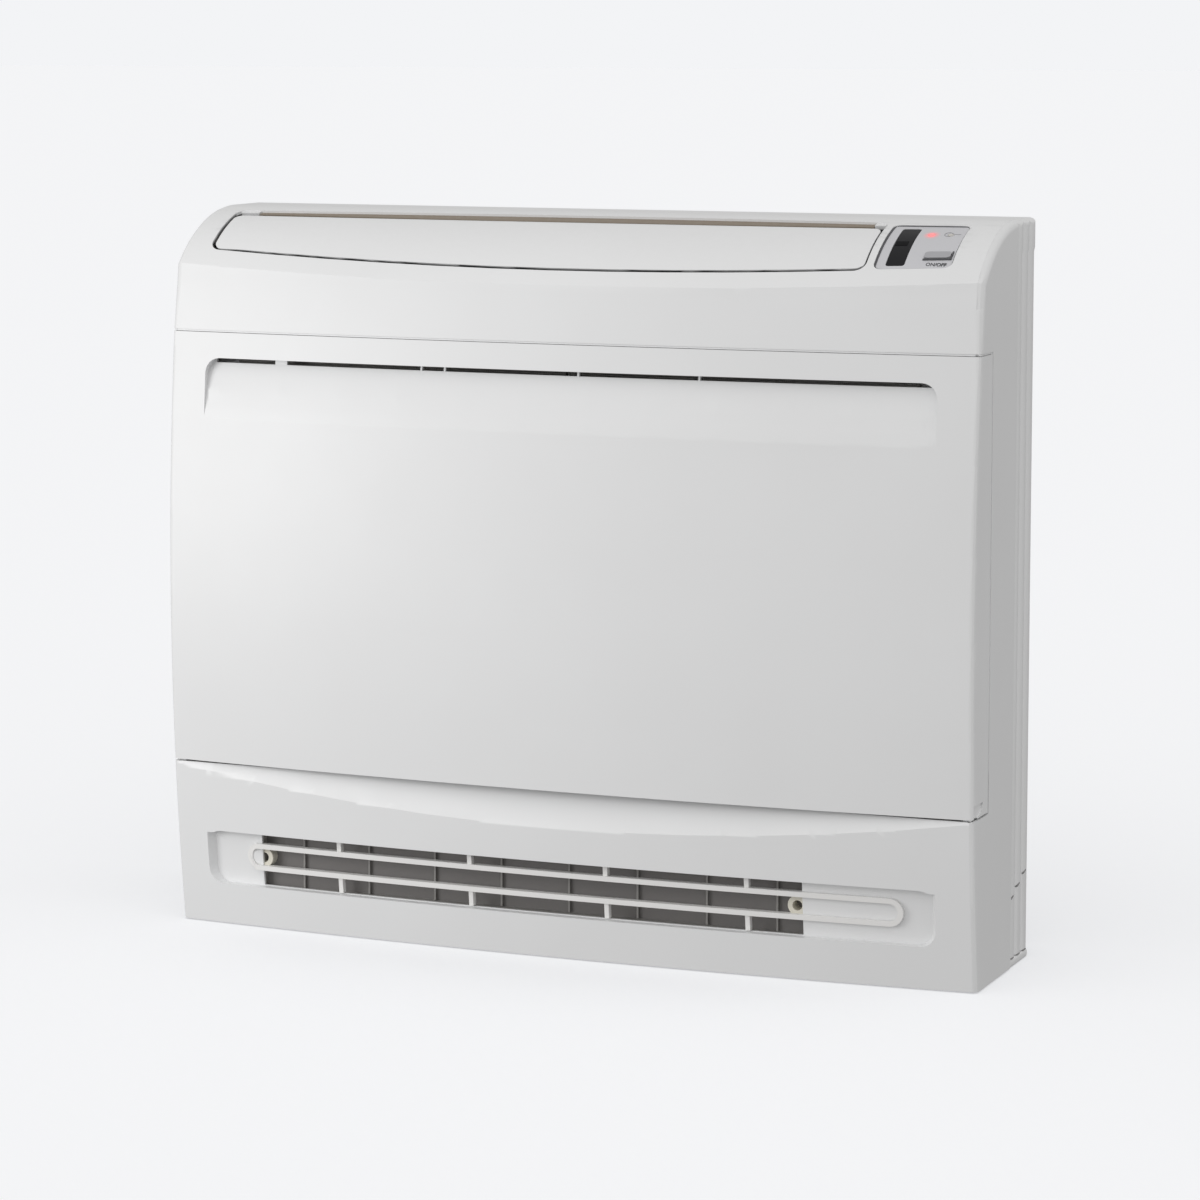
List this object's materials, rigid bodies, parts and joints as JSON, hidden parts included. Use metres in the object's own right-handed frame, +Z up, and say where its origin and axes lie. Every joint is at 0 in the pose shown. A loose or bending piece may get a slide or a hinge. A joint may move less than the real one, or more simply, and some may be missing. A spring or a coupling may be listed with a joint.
{
  "type": "floor standing air conditioner",
  "caption": "Low bowed cabinet that stands against a wall, with a hinged front panel, a hinged vane over its upper outlet, a grille over its lower outlet and a display pad with a push button.",
  "frame": {"origin": "on the floor under the middle of the whole machine", "axes": "+X to the viewer's right along the width, the front faces -Y, +Z up"},
  "size_m": [0.7, 0.21, 0.6],
  "materials": {
    "white_plastic": "satin moulded",
    "ridge_plastic": "fine textured",
    "duct_plastic": "dull moulded",
    "cream_plastic": "dull moulded",
    "pad_plastic": "silver grey satin",
    "window_plastic": "dark gloss",
    "lamp_red": "lit lens",
    "lamp_pale": "clear lens",
    "board_resin": "lacquered board",
    "sheet_steel": "galvanised sheet",
    "coil_fins": "plain fins",
    "filter_screen": "woven screen"
  },
  "bodies": {
    "cabinet": {"top_cover": "white_plastic", "slope_cover": "white_plastic", "lower_cover": "white_plastic", "side_wall_left": "white_plastic", "side_wall_right": "white_plastic", "side_moulding_left": "ridge_plastic", "side_moulding_right": "ridge_plastic", "foot_left": "ridge_plastic", "foot_right": "ridge_plastic", "outlet_grille": "white_plastic", "lower_duct": "duct_plastic", "guide_blades": "duct_plastic", "screw_boss_left": "cream_plastic", "screw_boss_right": "cream_plastic", "inner_frame": "white_plastic", "filter_left": "filter_screen", "filter_right": "filter_screen", "heat_exchanger": "coil_fins", "fan_casing": "duct_plastic", "upper_duct": "cream_plastic", "rear_plate": "sheet_steel", "rear_rim": "sheet_steel", "base_pan": "sheet_steel", "panel_socket_left": "cream_plastic", "panel_socket_right": "cream_plastic", "display_pad": "pad_plastic", "receiver_window": "window_plastic", "power_lamp": "lamp_red", "timer_lamp": "lamp_pale", "display_board": "board_resin"},
    "panel": {"front_panel": "white_plastic", "panel_lug_left": "cream_plastic", "panel_lug_right": "cream_plastic"},
    "vane": {"upper_vane": "white_plastic"},
    "button": {"on_off_button": "pad_plastic"}
  },
  "joints": [
    {"name": "panel_hinge", "type": "hinge", "parent": "cabinet", "child": "panel", "pos_m": [0, -0.08122, 0.1455], "axis": [1, 0, 0], "range_deg": [0, 16]},
    {"name": "vane_hinge", "type": "hinge", "parent": "cabinet", "child": "vane", "pos_m": [0, -0.05122, 0.56944], "axis": [1, 0, 0], "range_deg": [0, 60]},
    {"name": "button_press", "type": "slide", "parent": "cabinet", "child": "button", "axis": [0, 0.5853, -0.8108], "range_m": [0, 0.001], "stiffness_N_per_m": 300}
  ]
}
